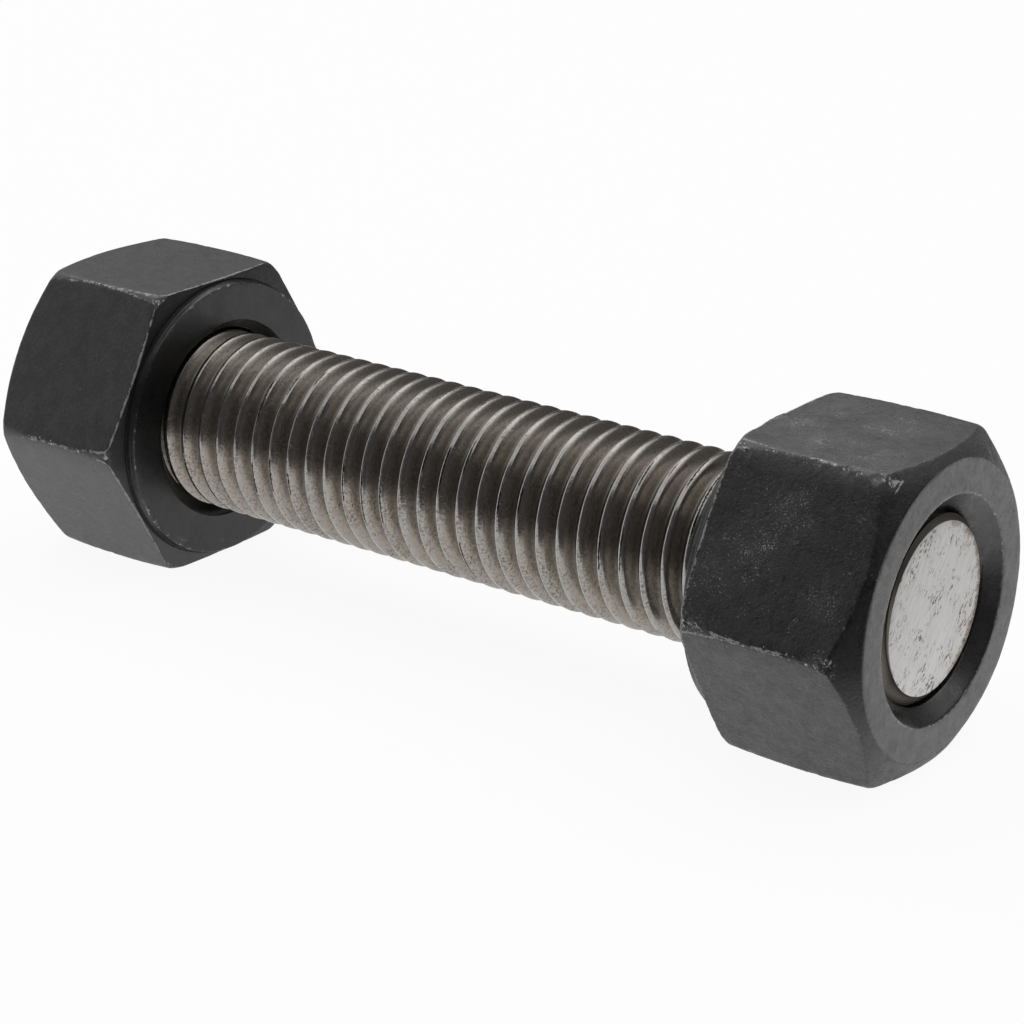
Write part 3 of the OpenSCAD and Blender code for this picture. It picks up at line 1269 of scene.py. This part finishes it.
def right_nut_marks() -> tuple[Blemish, ...]:
    """Dents, flakes and stains on the near nut."""
    return (
        Blemish(Mark.DENT, 11.8, 31.0, 20.3, 0.55, 0.10),
        Blemish(Mark.DENT, 15.0, 31.0, 20.3, 0.60, 0.12),
        Blemish(Mark.DENT, 18.7, 31.0, 20.1, 0.75, 0.16),
        Blemish(Mark.DENT, 3.4, 33.0, 20.2, 0.55, 0.14),
        Blemish(Mark.DENT, 20.0, 28.0, 19.2, 0.60, 0.12),
        Blemish(Mark.DENT, 19.6, 90.0, 20.1, 0.80, 0.18),
        Blemish(Mark.DENT, 2.9, 88.0, 20.2, 0.60, 0.12),
        Blemish(Mark.SCUFF, 10.4, 46.0, 18.2, 4.20),
        Blemish(Mark.SCUFF, 7.4, 59.4, 17.8, 4.60),
        Blemish(Mark.SCUFF, 3.6, 71.5, 18.2, 4.00),
        Blemish(Mark.SCUFF, 17.3, 72.6, 18.1, 3.00),
        Blemish(Mark.SCUFF, 16.0, 20.0, 18.9, 5.00),
        Blemish(Mark.SCUFF, 9.0, 16.0, 18.4, 5.50),
        Blemish(Mark.SCUFF, 4.0, 8.0, 17.9, 5.00),
        Blemish(Mark.SCUFF, 13.0, -8.0, 17.9, 5.00),
        Blemish(Mark.SCUFF, 5.0, -15.0, 18.3, 4.00),
        Blemish(Mark.SCUFF, 3.0, 90.0, 20.2, 2.60),
        Blemish(Mark.SCUFF, 19.0, 90.0, 20.2, 1.80),
        *chips(20.3, 28.0, 19.3, 18, 0.9, 41),
        *chips(19.6, 90.0, 20.1, 16, 0.7, 43),
        *chips(2.2, 89.0, 20.2, 11, 0.9, 47),
        *chips(2.0, 31.0, 20.2, 12, 0.8, 53),
        *chips(13.5, 30.5, 20.3, 26, 3.0, 59),
        *chips(10.0, 90.0, 20.3, 11, 4.5, 61),
        Blemish(Mark.RUST, 20.6, 121.0, 11.6, 1.20),
    )


def left_nut_marks() -> tuple[Blemish, ...]:
    """Small flakes and rubs on the far nut."""
    return (
        *chips(1.7, 30.0, 20.2, 8, 0.5, 67),
        *chips(1.7, 90.0, 20.2, 10, 0.5, 71),
        *chips(1.6, 149.0, 20.2, 8, 0.6, 73),
        *chips(9.0, 30.0, 20.3, 12, 3.5, 83),
        *chips(9.0, 90.0, 20.3, 12, 3.5, 89),
        Blemish(Mark.SCUFF, 0.1, 112.0, 17.0, 0.60),
        Blemish(Mark.SCUFF, 0.1, 145.0, 16.7, 0.90),
        Blemish(Mark.SCUFF, 0.0, 172.0, 15.6, 0.60),
        Blemish(Mark.SCUFF, 0.1, 35.0, 16.9, 0.60),
    )


def main() -> None:
    """Build the stud and both nuts around the frame, then the studio."""
    logging.basicConfig(level=logging.INFO, format="%(name)s: %(message)s")
    low, high = (np.array(corner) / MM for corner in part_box("stud"))
    axis_z = float(low[2] + high[2]) / 2
    thread = ThreadForm(crest_radius=float(high[1] - low[1]) / 2)
    stud = Stud(thread, float(high[0] - low[0]), axis_z, thread.crest_radius - END_CHAMFER)
    rod = stud.build()
    stud.dress(rod, PlainSteel("plain_steel"))
    log.info("%s: %d faces", rod.name, len(rod.data.polygons))
    finishes = {
        "nut_left": BlackOxide(
            name="black_oxide_clean",
            dust=0.03,
            mottling=0.6,
            turned=grey(0.048, -0.01),
            skin=grey(0.009, -0.02),
            dull=grey(0.026, -0.01),
            gloss_index=1.66,
            top_dust_and_shade=0.0,
            painted_bounce=0.12,
        ),
        "nut_right": BlackOxide(
            name="black_oxide_scuffed",
            dust=0.11,
            mottling=1.0,
            turned=grey(0.108),
            skin=grey(0.001, -0.02),
            dull=grey(0.008, -0.01),
            gloss_index=1.65,
            top_dust_and_shade=0.14,
            painted_bounce=0.08,
        ),
    }
    for body, side, chipping, polish, seed, marks in (
        ("nut_left", -1, 0.5, 1.0, 11, left_nut_marks()),
        ("nut_right", 1, 0.65, 0.25, 29, right_nut_marks()),
    ):
        low, high = (np.array(corner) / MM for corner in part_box(body))
        nut = HexNut(
            name=f"heavy_hex_{body}",
            body=body,
            thread=thread,
            side=side,
            inner_x=float(min(abs(low[0]), abs(high[0]))),
            height=float(high[0] - low[0]),
            across_flats=float(high[2] - low[2]),
            axis_z=axis_z,
            chipping=chipping,
            inner_polish=polish,
            seed=seed,
            blemishes=marks,
        )
        piece = nut.build()
        nut.dress(piece, finishes[body])
        log.info("%s: %d faces", piece.name, len(piece.data.polygons))
    Studio().build()


if __name__ == "__main__":
    main()
